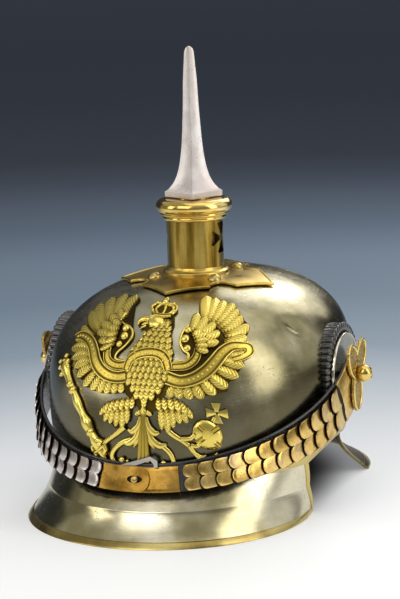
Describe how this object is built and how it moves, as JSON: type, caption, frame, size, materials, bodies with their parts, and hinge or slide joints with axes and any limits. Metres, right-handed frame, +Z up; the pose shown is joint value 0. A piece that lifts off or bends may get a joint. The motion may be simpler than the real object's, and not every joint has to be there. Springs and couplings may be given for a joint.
{
  "type": "spiked parade helmet",
  "caption": "Polished steel helmet with a brass fluted spike, cross base, eagle plate and chin scales, standing on its front peak and neck guard.",
  "frame": {"origin": "on the floor under the middle of the bounding box in plan", "axes": "+Z up along the spike, the front peak and eagle face -Y, the wearer's left side is +X"},
  "size_m": [0.2476, 0.31, 0.3127],
  "materials": {
    "steel": "polished steel with light spotting",
    "brass": "polished brass with tarnish in the hollows",
    "silver": "silvered",
    "cockade_black": "glossy black paint",
    "strap_leather": "glossy black leather",
    "peak_lining": "dark red leather",
    "liner_leather": "worn brown leather",
    "liner_cord": "cotton cord"
  },
  "bodies": {
    "helmet": {"base_nuts": "brass", "base_studs": "brass", "cockade_left": "cockade_black", "cockade_right": "cockade_black", "cockade_rim_left": "silver", "cockade_rim_right": "silver", "cross_base": "brass", "eagle_nuts": "brass", "eagle_plate": "brass", "eagle_posts": "brass", "front_visor": "steel", "liner_cord": "liner_cord", "liner_fingers": "liner_leather", "neck_collar": "brass", "neck_foot_ring": "brass", "neck_guard": "steel", "neck_guard_lining": "peak_lining", "neck_guard_rivets": "brass", "neck_guard_trim": "brass", "neck_tube": "brass", "rosette_bolt_left": "brass", "rosette_bolt_right": "brass", "rosette_left": "brass", "rosette_nut_left": "brass", "rosette_nut_right": "brass", "rosette_right": "brass", "skull": "steel", "skull_band": "brass", "spike_bush": "brass", "sweatband": "liner_leather", "visor_lining": "peak_lining", "visor_rivets": "brass", "visor_trim": "brass"},
    "chin_strap_left": {"strap_leather_left": "strap_leather", "strap_root_left": "brass", "chin_scales_left": "brass", "hook_plate": "brass", "hook_button": "brass", "strap_tab": "steel"},
    "chin_strap_right": {"strap_leather_right": "strap_leather", "strap_root_right": "brass", "chin_scales_right": "brass", "hook_tongue": "brass"},
    "spike_stem": {"spike_screw": "steel"},
    "spike_head": {"spike": "steel"}
  },
  "joints": [
    {"name": "strap_right_swing", "type": "hinge", "parent": "helmet", "child": "chin_strap_right", "pos_m": [0, -0.005, 0.09], "axis": [-1, 0, 0], "range_deg": [0, 75]},
    {"name": "strap_left_swing", "type": "hinge", "parent": "helmet", "child": "chin_strap_left", "pos_m": [0, -0.005, 0.09], "axis": [-1, 0, 0], "range_deg": [0, 75]},
    {"name": "spike_lift", "type": "slide", "parent": "helmet", "child": "spike_stem", "axis": [0, 0, 1], "range_m": [0, 0.009]},
    {"name": "spike_turn", "type": "hinge", "parent": "spike_stem", "child": "spike_head", "pos_m": [0, -0.01, 0.2097], "axis": [0, 0, 1], "range_deg": [0, 2160]}
  ],
  "couplings": [
    {"joint": "strap_left_swing", "follows": "strap_right_swing", "ratio": 1},
    {"joint": "spike_lift", "follows": "spike_turn", "m_per_rad": 0.00023873}
  ]
}
